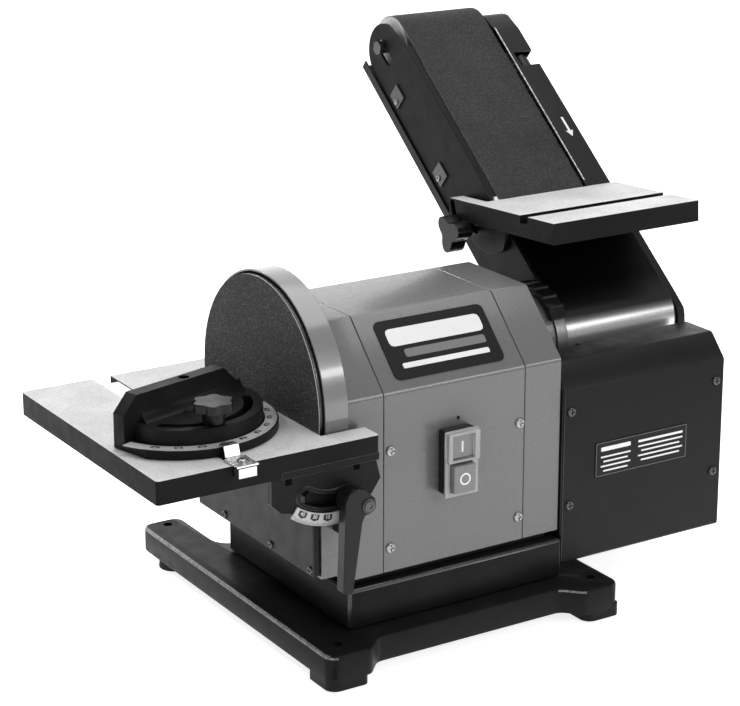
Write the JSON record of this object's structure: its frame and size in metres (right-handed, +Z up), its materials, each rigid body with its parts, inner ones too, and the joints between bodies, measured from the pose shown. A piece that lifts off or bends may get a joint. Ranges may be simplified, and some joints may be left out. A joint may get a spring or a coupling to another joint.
{
  "type": "belt disc sander",
  "caption": "Bench sander with a motor housing, a sanding disc with a tilting table and mitre gauge on the left, and a tilting belt arm with its own table on the right.",
  "frame": {"origin": "centre of the footprint on the surface the feet stand on", "axes": "+X along the spindle from the disc to the belt, -Y towards the user, +Z up"},
  "size_m": [0.617, 0.4632, 0.4881],
  "materials": {
    "black_casting": "satin black enamel over a cast surface",
    "grey_paint": "semi-gloss mid grey enamel",
    "black_sheet": "fine textured black powder coat",
    "gloss_black": "glossy black enamel",
    "black_plastic": "moulded black plastic with a soft shine",
    "machined_aluminium": "milled bare aluminium",
    "steel": "bright steel",
    "abrasive": "dark abrasive grit on cloth",
    "rubber": "plain black rubber",
    "wound_core": "laminated core with varnished windings",
    "light_plate": "light satin plate",
    "clear_plastic": "light translucent plastic",
    "button_grey": "shiny grey plastic"
  },
  "bodies": {
    "root": {"base_casting": "black_casting", "rubber_foot_front_left": "rubber", "rubber_foot_front_right": "rubber", "rubber_foot_back_left": "rubber", "rubber_foot_back_right": "rubber", "pedestal": "black_casting", "motor_mount": "black_sheet", "disc_end_housing": "grey_paint", "lower_disc_guard": "black_sheet", "centre_cover": "grey_paint", "right_housing": "grey_paint", "pivot_tube": "grey_paint", "name_plate": "black_sheet", "motor_stator": "wound_core", "left_end_bell": "machined_aluminium", "right_end_bell": "machined_aluminium", "left_bearing": "steel", "right_bearing": "steel", "capacitor": "black_plastic", "cable_gland": "black_plastic", "switch_body": "black_plastic", "switch_frame": "clear_plastic", "trunnion_support_front": "black_casting", "trunnion_support_back": "black_casting", "tilt_pointer": "black_sheet", "belt_box": "black_sheet", "rating_plate": "black_sheet"},
    "spindle": {"spindle_shaft": "steel", "motor_rotor": "steel", "disc_plate": "machined_aluminium", "abrasive_disc": "abrasive", "drive_drum": "machined_aluminium"},
    "start_button": {"start_button": "button_grey"},
    "stop_button": {"stop_button": "button_grey"},
    "disc_table": {"disc_table": "machined_aluminium", "table_trunnion_front": "black_casting", "table_trunnion_back": "black_casting", "tilt_scale": "light_plate"},
    "table_lock_lever": {"table_lock_lever": "black_plastic"},
    "mitre_bar": {"mitre_bar": "steel", "mitre_pointer": "steel"},
    "mitre_head": {"mitre_head": "black_casting", "mitre_scale": "light_plate"},
    "mitre_knob": {"mitre_knob": "black_plastic"},
    "belt_arm": {"arm_left_plate": "black_sheet", "arm_right_channel": "black_sheet", "platen": "steel", "arm_back_cover": "black_sheet", "sanding_belt": "abrasive", "drum_guard": "gloss_black", "arm_collar": "grey_paint", "arm_segment": "black_plastic", "tension_spring": "steel"},
    "idler_axle": {"idler_axle": "steel"},
    "idler_drum": {"idler_drum": "machined_aluminium"},
    "tracking_knob": {"tracking_knob": "black_plastic"},
    "belt_table": {"belt_table": "machined_aluminium", "belt_table_bracket": "black_casting"},
    "belt_table_knob": {"belt_table_knob": "black_plastic"}
  },
  "joints": [
    {"name": "spindle_spin", "type": "hinge", "parent": "root", "child": "spindle", "pos_m": [0.0625, -0.0824, 0.2275], "axis": [1, 0, 0], "continuous": true},
    {"name": "start_button_press", "type": "slide", "parent": "root", "child": "start_button", "axis": [0, 1, 0], "range_m": [0, 0.004], "stiffness_N_per_m": 500, "springref_m": -0.001},
    {"name": "stop_button_press", "type": "slide", "parent": "root", "child": "stop_button", "axis": [0, 1, 0], "range_m": [0, 0.004], "stiffness_N_per_m": 500, "springref_m": -0.001},
    {"name": "disc_table_tilt", "type": "hinge", "parent": "root", "child": "disc_table", "pos_m": [-0.144, -0.0824, 0.217], "axis": [0, -1, 0], "range_deg": [0, 45]},
    {"name": "table_lock_turn", "type": "hinge", "parent": "root", "child": "table_lock_lever", "pos_m": [-0.1325, -0.2224, 0.169], "axis": [0, 1, 0], "range_deg": [-75, 75]},
    {"name": "mitre_slide", "type": "slide", "parent": "disc_table", "child": "mitre_bar", "axis": [0, 1, 0], "range_m": [-0.09, 0.09]},
    {"name": "mitre_swivel", "type": "hinge", "parent": "mitre_bar", "child": "mitre_head", "pos_m": [-0.231, -0.1094, 0.217], "axis": [0, 0, 1], "range_deg": [-75, 45]},
    {"name": "mitre_knob_turn", "type": "hinge", "parent": "mitre_bar", "child": "mitre_knob", "pos_m": [-0.231, -0.1654, 0.24], "axis": [0, 0, 1], "range_deg": [-180, 180]},
    {"name": "arm_tilt", "type": "hinge", "parent": "root", "child": "belt_arm", "pos_m": [0.1525, -0.0824, 0.2275], "axis": [1, 0, 0], "range_deg": [-39.4, 50.6]},
    {"name": "belt_tension", "type": "slide", "parent": "belt_arm", "child": "idler_axle", "axis": [0, 0.7727, 0.6347], "range_m": [-0.008, 0], "stiffness_N_per_m": 2000, "springref_m": 0.012},
    {"name": "idler_spin", "type": "hinge", "parent": "idler_axle", "child": "idler_drum", "pos_m": [0.2225, 0.19708, 0.45707], "axis": [1, 0, 0], "continuous": true},
    {"name": "tracking_turn", "type": "hinge", "parent": "belt_arm", "child": "tracking_knob", "pos_m": [0.2915, 0.13655, 0.43517], "axis": [0, 0.7727, 0.6347], "range_deg": [-180, 180]},
    {"name": "belt_table_tilt", "type": "hinge", "parent": "belt_arm", "child": "belt_table", "pos_m": [0.2225, -0.00075, 0.33921], "axis": [-1, 0, 0], "range_deg": [0, 45]},
    {"name": "belt_table_knob_turn", "type": "hinge", "parent": "belt_arm", "child": "belt_table_knob", "pos_m": [0.1305, 0.01869, 0.30773], "axis": [1, 0, 0], "range_deg": [-180, 180]}
  ],
  "couplings": [
    {"joint": "idler_spin", "follows": "spindle_spin", "ratio": 1}
  ]
}
